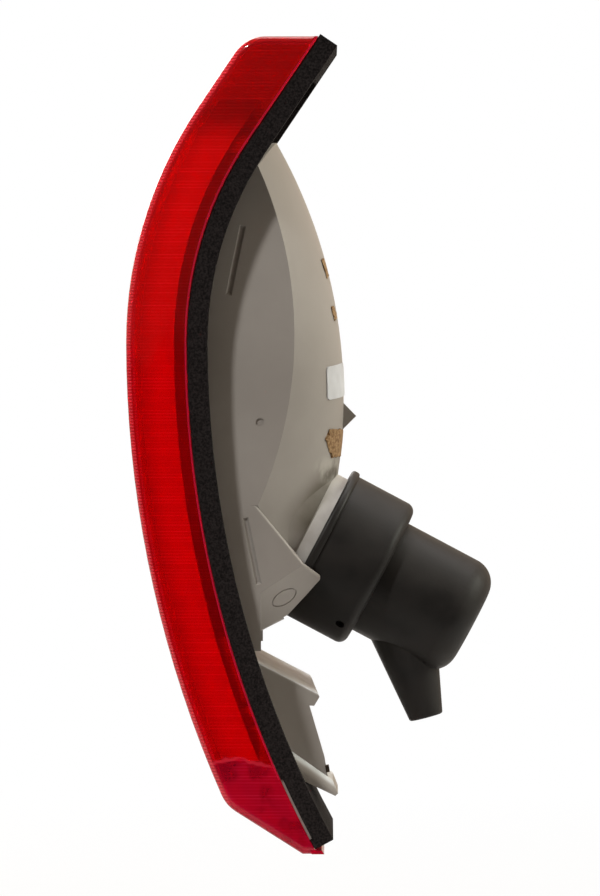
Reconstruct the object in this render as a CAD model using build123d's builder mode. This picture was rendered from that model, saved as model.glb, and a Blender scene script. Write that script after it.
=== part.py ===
from build123d import *
import os
from math import asin, cos, degrees, radians, sin, sqrt, tan

# Tail light cluster, in millimetres. X runs from the lens (minus) to the vehicle (plus), Y across, Z up.
# The origin is on the rear face of the foam gasket, at mid-width, where that face stands upright.

# Seat line: the curve of the lens rim in the side view, straight at the top, then two arcs
seat_upper_radius = 113.0
seat_upper_sweep = 34.0
seat_lower_radius = 335.0

# Lens
lens_width = 98.0
lens_depth = 19.0
lens_wall = 2.6
lens_top = 96.0
lens_foot = 161.0
foot_heel = 30.0
foot_slope = 32.3
lens_top_radius = 11.5
lens_foot_radius = 12.0
lens_inner_radius = 0.6
lens_edge_radius = 2.4
rim_lip = 0.4
rim_lip_depth = 0.9
foot_rim_depth = 1.6
foot_rim_height = 7.6
foot_lip_reach = 1.8
foot_lip_height = 1.2
foot_lip_edge = 0.3
foot_lip_rounding = 0.5
bond_line = 0.1

# Flange, its seal groove and the foam gasket
flange_thickness = 2.0
flange_edge = 0.8
seal_edge = 1.4
seal_width = 1.2
seal_depth = 1.0
seal_clearance = 0.05
gasket_thickness = 6.5
gasket_width = 11.0
gasket_clearance = 0.1
gasket_edge = 0.2
gasket_top_rise = 1.1
gasket_foot_rise = 1.5
gasket_pad_level = -140.3
flange_foot_rise = 4.4
bare_flange_height = 0.7
bare_flange_level = -137.5

# Bowl: the flat sides end in one arc and the dome at mid-width in another
bowl_wall = 2.4
bowl_side_gap = 12.0
dome_radius = 165.0
dome_apex = 43.0
dome_level = -18.0
dome_top = 63.5
dome_bottom = -87.0
dome_floor_slope = 27.0
side_radius = 130.2
side_apex = 27.4
side_level = 2.0
side_top = 55.6
side_bottom = -51.5

# Skirt below the bowl, as corners in the side view, with a slanted facet on each side
skirt_root = (15.4, -51.8)
skirt_shoulder = (30.4, -70.3)
skirt_tip = (35.5, -74.1)
skirt_tip_height = 1.5
skirt_keel = (25.1, -87.0)
skirt_floor = (16.9, -91.2)
skirt_crease = (17.2, -78.8)
skirt_keel_width = 36.0
skirt_edge_radius = 0.7
skirt_overlap = 8.0
web_edge = 16.8
web_top = -76.0
web_bottom = -97.6
mould_mark = (24.2, -81.2)
mould_mark_radius = 4.4
mould_mark_line = 0.4
mould_mark_depth = 0.4

# Small features of the bowl
side_groove_width = 1.9
side_groove_depth = 0.8
side_groove_taper = 40.0
upper_groove = ((11.1, 36.8), (6.6, 14.8))
lower_groove = ((11.9, -55.5), (16.1, -76.6))
side_dimple = (16.5, -25.4)
side_dimple_radius = 1.3
side_dimple_depth = 0.5
fin_outline = ((39.6, -16.3), (47.0, -23.9), (39.6, -31.3))
fin_thickness = 2.4

# Bracket on the lower flange: ledge above, panel on the near side, shelf below; noses as (along, up) points
bracket_width = 40.0
ledge_corner = (34.7, -111.9)
ledge_slope = 27.4
ledge_length = 42.0
ledge_nose = ((0.0, 0.0), (1.0, -0.7), (0.8, -4.0), (-1.1, -4.8), (-2.3, -3.6))
ledge_far_rise = 4.0
ledge_far_short = 2.5
ledge_rounding = 0.7
panel_thickness = 2.4
panel_outline = ((0.0, -95.8), (31.4, -113.5), (36.85, -132.0), (38.05, -139.1), (0.0, -113.6))
shelf_corner = (39.5, -139.4)
shelf_slope = 35.0
shelf_length = 36.0
shelf_nose = ((0.0, 0.0), (3.7, -2.4), (3.4, -3.5), (-6.7, -5.2))
shelf_root_thickness = 7.9
shelf_overhang = 4.0
shelf_top_rounding = 3.4

# Spring clip folded round the rear edge of the bracket panel
clip_corner = (37.5, -135.8)
clip_slope = -9.6
clip_thickness = 0.8
clip_width = 2.2
clip_near_leg = 0.4
clip_far_leg = 1.2
clip_clearance = 0.1

# Bulb holder axis, which the neck, the bulb and the boot share; stations run outwards along it
holder_origin = (36.85, -65.9)
holder_slope = 28.0
neck_radius = 22.6
neck_wall = 3.0
neck_end = 10.0
neck_root = -25.0
flare_end = -8.0
flare_root = -15.0
flare_edge = 0.4
flare_spread = 5.0
pocket_station = -4.0
pocket_clearance = 0.4

# Bulb holder
holder_clearance = 0.4
holder_front = -9.0
holder_wall = 2.4
holder_hub_radius = 12.5
holder_floor = 4.0
holder_flange_thickness = 3.0
holder_flange_radius = 22.3
seal_ring_thickness = 1.2
lug_count = 3
lug_width = 6.0
lug_thickness = 2.0
lug_reach = 1.6
lug_clearance = 0.2
groove_clearance = 0.35
lug_turn = 40.0

# Bulb
cap_radius = 7.5
cap_wall = 0.4
cap_length = 19.0
cap_end = 1.0
cap_clearance = 0.05
insulator_thickness = 2.2
contact_radius = 1.5
contact_height = 1.1
contact_spacing = 7.2
pin_radius = 1.0
pin_station = -7.0
pin_reach = 0.8
glass_neck_radius = 6.9
glass_wall = 0.8
globe_radius = 12.6
globe_station = -32.5
glass_overlap = 5.0
stem_base_radius = 5.9
stem_base_length = 3.0
stem_radius = 4.6
stem_length = 9.0
wire_radius = 0.35
wire_spacing = 6.0
filament_radius = 0.5
filament_stations = ((-31.0, 2.2), (-27.5, -2.2))
filament_gap = 0.05

# Bayonet sleeve and contact strips
sleeve_clearance = 0.25
sleeve_wall = 0.7
sleeve_length = 20.0
sleeve_seat = 6.0
sleeve_fit = 0.15
sleeve_ledge = 1.2
slot_clearance = 0.2
slot_turn = 3.4
strip_thickness = 0.6
strip_width = 3.4
strip_height = 4.2
strip_tongue = 6.0
strip_clearance = 0.15
strip_gap = 0.05
blade_end = 27.0
earth_start = -2.0

# Rubber boot
boot_mouth = -3.5
boot_lip_radius = 26.1
boot_lip_width = 2.8
boot_collar_radius = 25.0
boot_collar_end = 20.1
boot_body_radius = 19.25
boot_end = 53.4
boot_wall = 2.4
boot_grip = 0.2
boot_seat_gap = 0.3
boot_lip_rounding = 1.0
boot_collar_rounding = 3.0
boot_end_rounding = 8.0
boot_inner_rounding = 4.0
vent_radius = 1.5
vent_station = 15.6
vent_angle = 49.5
spout_station = 24.0
spout_turn = 47.2
spout_length = 44.8
spout_root_radius = 13.8
spout_end_radius = 5.4
spout_bore_radius = 3.0
spout_bore_length = 8.0
spout_edge_radius = 0.8

# Reflector tray and dish
tray_gap = 4.0
tray_floor = 1.5
tray_wall = 1.5
tray_depth = 14.5
tray_clearance = 1.2
tray_top_gap = 8.7
tray_bottom_gap = 13.9
dish_clearance = 0.6
dish_wall = 1.4
dish_holder_gap = 3.0
bulb_hole_clearance = 2.0

# Reflector screws
screw_radius = 1.4
screw_length = 6.4
screw_head_radius = 2.8
screw_head_height = 1.8
screw_slot_width = 0.8
screw_slot_depth = 0.9
screw_clearance = 0.1
boss_radius = 3.2
boss_gap = 0.05
boss_edge = 12.0
upper_boss_run = 5.0
lower_boss_sweep = 20.6

# Reflex insert in the lens foot
reflex_thickness = 3.0
reflex_tray_gap = 1.4
reflex_clearance = 0.2
reflex_side_gap = 0.6

# Label and torn paper on the dome, as (across, up) points seen from behind the lamp
film_gap = 0.05
film_thickness = 0.25
label_centre = (-12.0, -12.6)
label_size = (20.0, 10.6)
label_turn = 4.0
label_corner_radius = 1.6
large_scrap = ((-18.4, -27.8), (-2.0, -28.3), (-3.0, -36.7), (-15.2, -36.9), (-20.7, -30.7))
upper_scrap = ((-12.5, 25.7), (-7.0, 26.3), (-6.2, 21.5), (-10.4, 20.2))
middle_scrap = ((-13.0, 10.9), (-8.2, 11.2), (-6.6, 7.6), (-11.5, 6.7))

# Values worked out from the sizes above
reach = 90.0
rim_x = -gasket_thickness
half_lens = lens_width / 2
half_bowl = half_lens - bowl_side_gap
top_run = (lens_top - seat_upper_radius * sin(radians(seat_upper_sweep))) / cos(radians(seat_upper_sweep))
foot_sweep = asin(lens_foot / seat_lower_radius)
flange_foot_sweep = foot_sweep - (flange_edge + flange_foot_rise) / seat_lower_radius
flange_foot_level = -seat_lower_radius * sin(flange_foot_sweep)
neck_bore = neck_radius - neck_wall
pocket_radius = boot_lip_radius + pocket_clearance
pocket_floor = pocket_station - bowl_wall
holder_radius = neck_bore - holder_clearance
holder_flange_start = neck_end + seal_ring_thickness
holder_end = holder_flange_start + holder_flange_thickness
lug_radius = holder_radius + lug_reach
lug_start = pocket_floor - lug_clearance - lug_thickness
cap_start = cap_end - cap_length
glass_base = cap_start + glass_overlap
stem_end = glass_base - stem_base_length - stem_length
sleeve_bore = cap_radius + sleeve_clearance
sleeve_radius = sleeve_bore + sleeve_wall
sleeve_start = sleeve_seat - sleeve_length
tongue_start = cap_end + contact_height + strip_gap
boot_step = holder_end + boot_seat_gap
tray_half = half_lens - lens_wall - tray_clearance
boss_spacing = 2 * (tray_half - boss_edge)
upper_lean = radians(seat_upper_sweep)
lower_lean = radians(lower_boss_sweep)
upper_boss_level = seat_upper_radius * sin(upper_lean) + upper_boss_run * cos(upper_lean)
lower_boss_level = -seat_lower_radius * sin(lower_lean)
tray_top = upper_boss_level + tray_top_gap
tray_bottom = lower_boss_level - tray_bottom_gap
reflex_top = tray_bottom - reflex_tray_gap

# The holder axis and planes on it: sections square to the axis, and the side view with stations as x
across = Vector(0, 1, 0)


def draw_direction(slope):
    """Unit vector in the side view that points to the rear and downwards at the slope."""
    return Vector(cos(radians(slope)), 0, -sin(radians(slope)))


def side_plane(corner, slope):
    """Side view plane through a corner at mid-width, with x along the sloping direction and y up from it."""
    return Plane((corner[0], 0, corner[1]), x_dir=draw_direction(slope), z_dir=-across)


holder_side = side_plane(holder_origin, holder_slope)
holder_plane = Plane(holder_side.origin, x_dir=across, z_dir=holder_side.x_dir)
holder_axis = Axis(holder_side.origin, holder_side.x_dir)
spout_start = holder_side.from_local_coords(Vector(spout_station, 0, 0))
spout_plane = Plane(spout_start, x_dir=across, z_dir=draw_direction(holder_slope + spout_turn))


def seat_band(front, back, top_margin, foot_margin):
    """Side section between two lines parallel to the lens rim, with ends set in from the ends of the lens."""
    ends = []
    tangent = Vector(sin(radians(seat_upper_sweep)), cos(radians(seat_upper_sweep)))
    lower_sweep = degrees(foot_sweep - foot_margin / seat_lower_radius)
    with BuildSketch() as section:
        with BuildLine():
            for back_shift in (front, back):
                upper_radius = seat_upper_radius - back_shift
                lower_radius = seat_lower_radius - back_shift
                rise = CenterArc((rim_x + seat_upper_radius, 0), upper_radius, 180, -seat_upper_sweep)
                fall = CenterArc((rim_x + seat_lower_radius, 0), lower_radius, 180, lower_sweep)
                head = Line(rise @ 1, rise @ 1 + tangent * (top_run - top_margin))
                ends.append((head @ 1, fall @ 1))
            Line(ends[0][0], ends[1][0])
            Line(ends[0][1], ends[1][1])
        make_face()
    return section.sketch_local


def seat_pad(front, back, margin, top_rise=0, foot_rise=flange_foot_rise):
    """Curved plate behind the lens that follows the seat line, set in from the lens outline by margin."""
    with BuildPart() as pad:
        with BuildSketch(Plane.XZ):
            add(seat_band(front, back, margin - top_rise, margin + foot_rise))
        extrude(amount=half_lens - margin, both=True)
    return pad.part


def rim_block(front, back, low, high, half_width):
    """Curved block between two lines parallel to the seat line and two levels."""
    with BuildPart() as block:
        with BuildSketch(Plane.XZ):
            add(seat_band(front, back, -lens_depth, -lens_depth))
            with Locations((0, low)):
                Rectangle(4 * reach, high - low, align=(Align.CENTER, Align.MIN), mode=Mode.INTERSECT)
        extrude(amount=half_width, both=True)
    return block.part


def lens_section(inset, back):
    """Side section of the lens, with its front, top and foot moved inwards by inset."""
    slope = radians(foot_slope)
    heel = Vector(foot_heel + inset * tan(slope / 2), inset - lens_foot)
    toe = heel + Vector(-cos(slope), sin(slope)) * reach
    with BuildSketch() as section:
        add(seat_band(inset - lens_depth, back, -lens_depth, -lens_depth))
        with BuildLine():
            Polyline(
                (-reach, lens_top - inset),
                (reach, lens_top - inset),
                (reach, heel.Y),
                heel,
                toe,
                (-reach, toe.Y),
                close=True,
            )
        make_face(mode=Mode.INTERSECT)
        top_corner = section.vertices().group_by(Axis.Y)[-1].sort_by(Axis.X)[0]
        fillet(top_corner, max(lens_top_radius - inset, lens_inner_radius))
        foot_corner = section.vertices().filter_by_position(Axis.Y, -lens_foot, dome_bottom).sort_by(Axis.X)[0]
        fillet(foot_corner, max(lens_foot_radius - inset, lens_inner_radius))
    return section.sketch_local


def bowl_section(apex, radius, level, top, bottom, floor_slope, inset):
    """Side section of the bowl: an arc at the rear, straight lines to the front."""
    rear = radius - inset
    centre = apex - radius
    high = top - inset
    low = bottom + inset
    low_x = centre + sqrt(rear**2 - (low - level) ** 2)
    high_x = centre + sqrt(rear**2 - (high - level) ** 2)
    front_low = low - (low_x + reach / 2) * tan(radians(floor_slope))
    with BuildSketch() as section:
        with BuildLine():
            back = ThreePointArc((high_x, high), (centre + rear, level), (low_x, low))
            Polyline(back @ 1, (-reach / 2, front_low), (-reach / 2, high), back @ 0)
        make_face()
    return section.sketch_local


def bowl_solid(inset, front):
    """The domed bowl as a full solid, all its faces moved inwards by inset, cut off along the seat line."""
    side = bowl_section(side_apex, side_radius, side_level, side_top, side_bottom, 0, inset)
    middle = bowl_section(dome_apex, dome_radius, dome_level, dome_top, dome_bottom, dome_floor_slope, inset)
    with BuildPart() as bowl:
        with BuildSketch(Plane.XZ.offset(half_bowl - inset)):
            add(side)
        with BuildSketch(Plane.XZ):
            add(middle)
        with BuildSketch(Plane.XZ.offset(inset - half_bowl)):
            add(side)
        loft()
        with BuildSketch(Plane.XZ):
            add(seat_band(front, reach, -lens_depth, -lens_depth))
        extrude(amount=lens_width, both=True, mode=Mode.INTERSECT)
    return bowl.part


def facet_plane(hand):
    """Plane of a skirt facet: through the crease on one side wall and the keel edge below it."""
    shoulder = Vector(skirt_shoulder[0], hand * half_bowl, skirt_shoulder[1])
    crease = Vector(skirt_crease[0], hand * half_bowl, skirt_crease[1])
    keel = Vector(skirt_keel[0], hand * skirt_keel_width / 2, skirt_keel[1])
    outward = (crease - shoulder).cross(keel - shoulder) * -hand
    return Plane(shoulder, x_dir=shoulder - crease, z_dir=outward)


def skirt_solid(inset, front, rounding):
    """The skirt as a full solid, all its faces moved inwards by inset."""
    front_low = skirt_floor[1] - (skirt_floor[0] + reach / 2) * tan(radians(dome_floor_slope))
    with BuildPart() as skirt:
        with BuildSketch(Plane.XZ):
            with BuildLine():
                Polyline(
                    (-reach / 2, skirt_root[1] + skirt_overlap),
                    skirt_root,
                    skirt_shoulder,
                    skirt_tip,
                    (skirt_tip[0], skirt_tip[1] - skirt_tip_height),
                    skirt_keel,
                    skirt_floor,
                    (-reach / 2, front_low),
                    close=True,
                )
            make_face()
            if inset:
                offset(amount=-inset, kind=Kind.INTERSECTION, mode=Mode.REPLACE)
        extrude(amount=half_bowl - inset, both=True)
        for hand in (-1, 1):
            split(bisect_by=facet_plane(hand).offset(-inset), keep=Keep.BOTTOM)
        if rounding:
            fillet(skirt.edges().filter_by_position(Axis.X, skirt_crease[0], reach), rounding)
        with BuildSketch(Plane.XZ):
            add(seat_band(front, reach, -lens_depth, -lens_depth))
        extrude(amount=lens_width, both=True, mode=Mode.INTERSECT)
    return skirt.part


def holder_disc(radius, start, end):
    """Cylinder on the holder axis between two stations."""
    with BuildPart() as disc:
        with BuildSketch(holder_plane.offset(start)):
            Circle(radius)
        extrude(amount=end - start)
    return disc.part


def holder_bar(stations, heights, width, offset_y):
    """Straight bar along the holder axis, between two stations and two heights, centred at offset_y."""
    with BuildPart() as bar:
        with BuildSketch(holder_side.offset(-offset_y)):
            with BuildLine():
                Polyline(
                    (stations[0], heights[0]),
                    (stations[1], heights[0]),
                    (stations[1], heights[1]),
                    (stations[0], heights[1]),
                    close=True,
                )
            make_face()
        extrude(amount=width / 2, both=True)
    return bar.part


def lug_ring(radius, width, start, end, turn):
    """Spokes of the holder lugs or of their entry notches, out to a radius, between two stations."""
    with BuildPart() as spokes:
        with BuildSketch(holder_plane.offset(start)):
            with PolarLocations(0, lug_count, start_angle=turn):
                Rectangle(radius, width, align=(Align.MIN, Align.CENTER))
            Circle(radius, mode=Mode.INTERSECT)
        extrude(amount=end - start)
    return spokes.part


def tray_solid(inset, front, back):
    """Block of the reflector tray between two lines parallel to the seat line, set in by inset."""
    return rim_block(front, back, tray_bottom + inset, tray_top - inset, tray_half - inset)


def dome_film(outlines):
    """Thin film on the dome, inside the given outlines in the rear view."""
    with BuildPart() as film:
        with BuildSketch(Plane.YZ):
            for outline in outlines:
                add(outline)
        extrude(amount=reach)
        add(bowl_solid(-film_gap, 0), mode=Mode.SUBTRACT)
        add(bowl_solid(-film_gap - film_thickness, 0), mode=Mode.INTERSECT)
    return film.part


def torn_outline(points):
    """Closed outline through points."""
    with BuildSketch() as outline:
        with BuildLine():
            Polyline(*points, close=True)
        make_face()
    return outline.sketch_local


# Planes on the flange front at the upper and the lower pair of reflector screws, facing the lens
upper_boss_x = rim_x + seat_upper_radius * (1 - cos(upper_lean)) + upper_boss_run * sin(upper_lean)
lower_boss_x = rim_x + seat_lower_radius * (1 - cos(lower_lean))
upper_boss_plane = Plane((upper_boss_x, 0, upper_boss_level), across, (-cos(upper_lean), 0, sin(upper_lean)))
lower_boss_plane = Plane((lower_boss_x, 0, lower_boss_level), across, (-cos(lower_lean), 0, -sin(lower_lean)))
boss_planes = [upper_boss_plane, lower_boss_plane]


def screw_posts(radius, start, end):
    """Four cylinders at the reflector screws, between two heights above the flange front."""
    with BuildPart() as posts:
        with BuildSketch(*[plane.offset(start) for plane in boss_planes]):
            with GridLocations(boss_spacing, 0, 2, 1):
                Circle(radius)
        extrude(amount=end - start)
    return posts.part


# Lens
with BuildPart() as lens:
    with BuildSketch(Plane.XZ):
        add(lens_section(0, -bond_line))
    extrude(amount=half_lens, both=True)
    rear_faces = lens.faces().filter_by(lambda face: face.normal_at().X > 0.3)
    side_faces = lens.faces().filter_by(Axis.Y)
    fillet(side_faces.edges() - rear_faces.edges(), lens_edge_radius)
    add(rim_block(-bond_line - rim_lip_depth, -bond_line, bare_flange_level, lens_top, half_lens + rim_lip))
    with BuildSketch(Plane.XZ):
        add(lens_section(lens_wall, flange_thickness))
    extrude(amount=half_lens - lens_wall, both=True, mode=Mode.SUBTRACT)
    # Thick foot rim for the seal, and the lip that runs on below the flange
    foot_half = half_lens - foot_lip_edge
    add(rim_block(-foot_rim_depth, -bond_line, -lens_foot, foot_rim_height - lens_foot, foot_half))
    add(rim_block(-foot_rim_depth, foot_lip_reach, -lens_foot, foot_lip_height - lens_foot, foot_half))
    lip_end = lens.faces().filter_by_position(Axis.Z, -lens_foot, foot_lip_height - lens_foot).sort_by(Axis.X)[-1]
    fillet(lip_end.edges().filter_by(Axis.Y).sort_by(Axis.Z)[-1], foot_lip_rounding)
lens.part.label = "lens"

# Reflex insert, an angled plate behind the lens front and foot
with BuildPart() as reflex_reflector:
    with BuildSketch(Plane.XZ):
        add(lens_section(lens_wall + reflex_clearance, -tray_gap))
        add(lens_section(lens_wall + reflex_clearance + reflex_thickness, flange_thickness), mode=Mode.SUBTRACT)
        with Locations((0, reflex_top)):
            Rectangle(2 * reach, 2 * reach, align=(Align.CENTER, Align.MAX), mode=Mode.INTERSECT)
    extrude(amount=half_lens - lens_wall - reflex_side_gap, both=True)
reflex_reflector.part.label = "reflex_reflector"

# Bonding bead in the flange groove, below the lens wall
with BuildPart() as lens_seal:
    add(seat_pad(seal_clearance - bond_line, seal_depth - seal_clearance, seal_edge + seal_clearance))
    add(
        seat_pad(-flange_thickness, flange_thickness, seal_edge + seal_width - seal_clearance),
        mode=Mode.SUBTRACT,
    )
lens_seal.part.label = "lens_seal"

# Shelf of the bracket, a bar with a rounded near face
shelf_near = bracket_width / 2 + shelf_overhang
with BuildPart() as shelf:
    with BuildSketch(side_plane(shelf_corner, shelf_slope).offset(shelf_near)):
        with BuildLine():
            Polyline((-shelf_length, 0), *shelf_nose, (-shelf_length, -shelf_root_thickness), close=True)
        make_face()
    extrude(amount=-bracket_width - shelf_overhang)
    near_edges = shelf.faces().sort_by(Axis.Y)[0].edges().sort_by(SortBy.LENGTH)
    fillet(near_edges[-2:].sort_by(Axis.Z)[-1:], radius=shelf_top_rounding)

# Bracket blank: ledge, panel and shelf
with BuildPart() as bracket:
    ledge_near = side_plane(ledge_corner, ledge_slope).offset(bracket_width / 2)
    far_corner = (ledge_corner[0] - ledge_far_short, ledge_corner[1] + ledge_far_rise)
    ledge_far = side_plane(far_corner, ledge_slope).offset(-bracket_width / 2)
    for ledge_end in (ledge_near, ledge_far):
        with BuildSketch(ledge_end):
            with BuildLine():
                Polyline((-ledge_length, 0), *ledge_nose, (-ledge_length, ledge_nose[-1][1]), close=True)
            make_face()
    loft(ruled=True)
    near_edges = bracket.faces().sort_by(Axis.Y)[0].edges().sort_by(SortBy.LENGTH)
    fillet(near_edges[-2:].sort_by(Axis.Z)[-1:], radius=ledge_rounding)
    with BuildSketch(Plane.XZ.offset(bracket_width / 2)):
        with BuildLine():
            Polyline(*panel_outline, close=True)
        make_face()
    extrude(amount=-panel_thickness)
    add(shelf.part)
    with BuildSketch(Plane.XZ):
        add(seat_band(flange_thickness / 2, reach, 0, 0))
    extrude(amount=bracket_width, both=True, mode=Mode.INTERSECT)

# Hollow of the bowl and skirt, which keeps a wall round the boot recess
with BuildPart() as hollow:
    add(bowl_solid(bowl_wall, -flange_thickness))
    add(skirt_solid(bowl_wall, -flange_thickness, 0))
    add(holder_disc(pocket_radius + bowl_wall, pocket_floor, reach), mode=Mode.SUBTRACT)

# Housing
with BuildPart() as housing:
    add(seat_pad(0, flange_thickness, flange_edge))
    add(bowl_solid(0, flange_thickness / 2))
    add(skirt_solid(0, flange_thickness / 2, skirt_edge_radius))
    # Webs that carry the side walls down to the bracket
    for hand in (-1, 1):
        with BuildSketch(Plane.XZ.offset(hand * half_bowl)):
            with Locations((web_edge, web_bottom)):
                Rectangle(reach, web_top - web_bottom, align=(Align.MAX, Align.MIN))
            add(seat_band(flange_thickness / 2, reach, -lens_depth, -lens_depth), mode=Mode.INTERSECT)
        extrude(amount=-hand * bowl_wall)
    # Oval mark left by the mould on the near facet
    mark_point = Vector(mould_mark[0], -(half_bowl + skirt_keel_width / 2) / 2, mould_mark[1])
    mark_spot = facet_plane(-1).to_local_coords(mark_point)
    with BuildSketch(facet_plane(-1)):
        with Locations((mark_spot.X, mark_spot.Y)):
            Circle(mould_mark_radius)
            Circle(mould_mark_radius - mould_mark_line, mode=Mode.SUBTRACT)
    extrude(amount=-mould_mark_depth, mode=Mode.SUBTRACT)
    # Recess that takes the mouth of the boot, and the neck that stands in it
    add(holder_disc(pocket_radius, pocket_station, reach), mode=Mode.SUBTRACT)
    add(holder_disc(neck_radius, neck_root, neck_end))
    # Flare that leads from the dome up to the neck
    with BuildSketch(holder_plane.offset(flare_root)):
        Circle(neck_radius + flare_edge + flare_spread)
    with BuildSketch(holder_plane.offset(flare_end)):
        Circle(neck_radius + flare_edge)
    loft()
    # Fin on the dome, grooves and dimples on the side walls
    with BuildSketch(Plane.XZ):
        with BuildLine():
            Polyline(*fin_outline, close=True)
        make_face()
    extrude(amount=fin_thickness / 2, both=True)
    for hand in (-1, 1):
        with BuildSketch(Plane.XZ.offset(hand * half_bowl)):
            for groove in (upper_groove, lower_groove):
                with BuildLine():
                    Line(*groove)
                trace(line_width=side_groove_width)
        extrude(amount=-hand * side_groove_depth, taper=side_groove_taper, mode=Mode.SUBTRACT)
        with BuildSketch(Plane.XZ.offset(hand * half_bowl)):
            with Locations(side_dimple):
                Circle(side_dimple_radius)
        extrude(amount=-hand * side_dimple_depth, mode=Mode.SUBTRACT)
    add(bracket.part)
    # Hollow, neck bore with the groove and notches for the holder lugs, bead groove and screw bosses
    add(hollow.part, mode=Mode.SUBTRACT)
    add(holder_disc(neck_bore, neck_root, reach), mode=Mode.SUBTRACT)
    add(
        holder_disc(lug_radius + groove_clearance, lug_start - groove_clearance, pocket_floor + lug_clearance),
        mode=Mode.SUBTRACT,
    )
    add(
        lug_ring(lug_radius + lug_clearance, lug_width + 2 * lug_clearance, lug_start, reach, lug_turn),
        mode=Mode.SUBTRACT,
    )
    add(
        seat_pad(-flange_thickness, seal_depth, seal_edge)
        - seat_pad(-flange_thickness, flange_thickness, seal_edge + seal_width),
        mode=Mode.SUBTRACT,
    )
    add(screw_posts(boss_radius, -flange_thickness / 2, tray_gap - boss_gap))
    add(
        screw_posts(
            screw_radius + screw_clearance, tray_gap + tray_floor - screw_length - screw_clearance, tray_gap
        ),
        mode=Mode.SUBTRACT,
    )
housing.part.label = "housing"

# Foam gasket, which wraps the flange edge except at the lower end
with BuildPart() as gasket:
    add(seat_pad(gasket_clearance, gasket_thickness, gasket_edge, gasket_top_rise, gasket_foot_rise))
    add(
        seat_pad(-flange_thickness, flange_thickness + gasket_clearance, flange_edge - gasket_clearance),
        mode=Mode.SUBTRACT,
    )
    add(
        seat_pad(-flange_thickness, lens_depth, gasket_edge + gasket_width)
        & rim_block(-flange_thickness, lens_depth, gasket_pad_level, lens_top, half_lens),
        mode=Mode.SUBTRACT,
    )
    add(
        rim_block(-flange_thickness, bare_flange_height, flange_foot_level, bare_flange_level, lens_width),
        mode=Mode.SUBTRACT,
    )
gasket.part.label = "gasket"

# Reflector: tray behind the lens and dish inside the bowl
with BuildPart() as dish_space:
    add(bowl_solid(bowl_wall + dish_clearance + dish_wall, -lens_depth))
    add(
        holder_disc(
            pocket_radius + bowl_wall + dish_clearance + dish_wall,
            pocket_floor - dish_holder_gap - dish_wall,
            reach,
        ),
        mode=Mode.SUBTRACT,
    )

with BuildPart() as dish_blank:
    add(bowl_solid(bowl_wall + dish_clearance, -tray_gap - tray_floor / 2))
    add(
        holder_disc(pocket_radius + bowl_wall + dish_clearance, pocket_floor - dish_holder_gap, reach),
        mode=Mode.SUBTRACT,
    )

with BuildPart() as reflector:
    add(tray_solid(0, -tray_depth, -tray_gap))
    add(tray_solid(tray_wall, -lens_depth, -tray_gap - tray_floor), mode=Mode.SUBTRACT)
    add(dish_blank.part)
    add(dish_space.part, mode=Mode.SUBTRACT)
    add(holder_disc(globe_radius + bulb_hole_clearance, neck_root, reach), mode=Mode.SUBTRACT)
    add(screw_posts(screw_radius + screw_clearance, 0, tray_depth), mode=Mode.SUBTRACT)
reflector.part.label = "reflector"

# Reflector screws, pan heads with a cross recess
with BuildPart() as reflector_screws:
    head_start = tray_gap + tray_floor
    add(screw_posts(screw_radius, head_start - screw_length, head_start))
    add(screw_posts(screw_head_radius, head_start, head_start + screw_head_height))
    slot_start = head_start + screw_head_height - screw_slot_depth
    with BuildSketch(*[plane.offset(slot_start) for plane in boss_planes]):
        with GridLocations(boss_spacing, 0, 2, 1):
            Rectangle(2 * screw_radius, screw_slot_width)
            Rectangle(screw_slot_width, 2 * screw_radius)
    extrude(amount=screw_head_height, mode=Mode.SUBTRACT)
reflector_screws.part.label = "reflector_screws"

# Bulb glass: a globe on a neck that stands in the cap
with BuildPart() as bulb_glass:
    with BuildSketch(holder_side):
        for step in (0, glass_wall):
            step_mode = Mode.SUBTRACT if step else Mode.ADD
            with Locations((globe_station, 0)):
                Circle(globe_radius - step, mode=step_mode)
            with Locations((glass_base, 0)):
                Rectangle(
                    glass_base - globe_station,
                    2 * (glass_neck_radius - step),
                    align=(Align.MAX, Align.CENTER),
                    mode=step_mode,
                )
        Rectangle(2 * reach, globe_radius, align=(Align.CENTER, Align.MIN), mode=Mode.INTERSECT)
    revolve(axis=holder_axis)
bulb_glass.part.label = "bulb_glass"

# Glass stem with the four wires that carry the two filaments
with BuildPart() as bulb_stem:
    add(holder_disc(stem_base_radius, glass_base - stem_base_length, glass_base))
    add(holder_disc(stem_radius, stem_end, glass_base - stem_base_length))
bulb_stem.part.label = "bulb_stem"

with BuildPart() as bulb_wires:
    for station, height in filament_stations:
        tip = station + filament_radius + filament_gap
        with BuildSketch(holder_plane.offset(tip)):
            with Locations((0, height)):
                with GridLocations(wire_spacing, 0, 2, 1):
                    Circle(wire_radius)
        extrude(amount=stem_end - tip)
bulb_wires.part.label = "bulb_wires"

with BuildPart() as bulb_filaments:
    with BuildSketch(holder_side):
        with Locations(*filament_stations):
            Circle(filament_radius)
    extrude(amount=wire_spacing / 2 + wire_radius, both=True)
bulb_filaments.part.label = "bulb_filaments"

# Bulb cap with its two bayonet pins
with BuildPart() as bulb_cap:
    add(holder_disc(cap_radius, cap_start, cap_end))
    with BuildSketch(holder_side):
        with Locations((pin_station, 0)):
            Circle(pin_radius)
    extrude(amount=cap_radius + pin_reach, both=True)
    add(holder_disc(cap_radius - cap_wall, cap_start - cap_length, cap_length), mode=Mode.SUBTRACT)
bulb_cap.part.label = "bulb_cap"

with BuildPart() as cap_insulator:
    add(holder_disc(cap_radius - cap_wall - cap_clearance, cap_end - insulator_thickness, cap_end))
cap_insulator.part.label = "cap_insulator"

with BuildPart() as bulb_contacts:
    with BuildSketch(holder_plane.offset(cap_end)):
        with GridLocations(contact_spacing, 0, 2, 1):
            Circle(contact_radius)
    extrude(amount=contact_height)
bulb_contacts.part.label = "bulb_contacts"

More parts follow.
